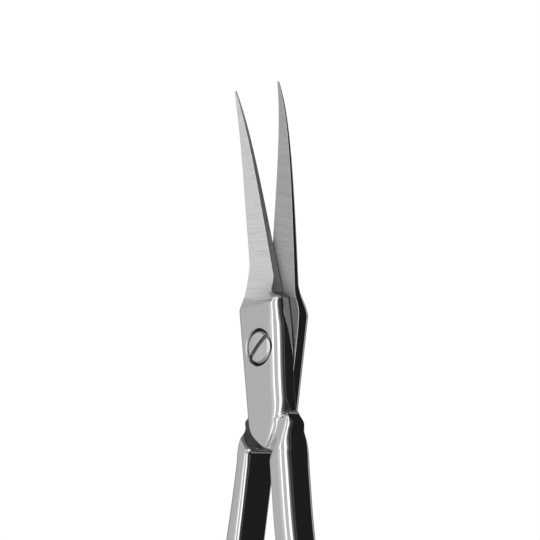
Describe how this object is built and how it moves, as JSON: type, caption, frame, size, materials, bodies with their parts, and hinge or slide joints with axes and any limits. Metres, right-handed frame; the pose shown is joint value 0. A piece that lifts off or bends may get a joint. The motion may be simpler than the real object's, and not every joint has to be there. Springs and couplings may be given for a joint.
{
  "type": "curved cuticle scissors",
  "caption": "Slim steel cuticle scissors with curved tapering blades, a lapped joint with a slotted pivot screw, and straight shanks ending in oval finger loops.",
  "frame": {"origin": "on the pivot axis, in the plane of the flat back that the tool lies on", "axes": "+Y along the closed tool towards the blade tips, +Z along the pivot axis out of the slotted screw head, so the blades curve up towards +Z, +X to the right of the tips seen from +Z"},
  "size_m": [0.063, 0.0929, 0.0047],
  "materials": {
    "upper_half": "polished stainless steel, blade face satin ground",
    "lower_half": "polished stainless steel, shearing face satin ground",
    "pivot_screw": "polished stainless steel"
  },
  "bodies": {
    "lower_half": {"lower_half": "lower_half"},
    "upper_half": {"upper_half": "upper_half"},
    "pivot_screw": {"pivot_screw": "pivot_screw"}
  },
  "joints": [
    {"name": "blade_pivot", "type": "hinge", "parent": "lower_half", "child": "upper_half", "pos_m": [0, 0, 0], "axis": [0, 0, 1], "range_deg": [-13.69, 61.31]},
    {"name": "screw_turn", "type": "hinge", "parent": "lower_half", "child": "pivot_screw", "pos_m": [0, 0, 0], "axis": [0, 0, 1], "range_deg": [-90, 90]}
  ]
}
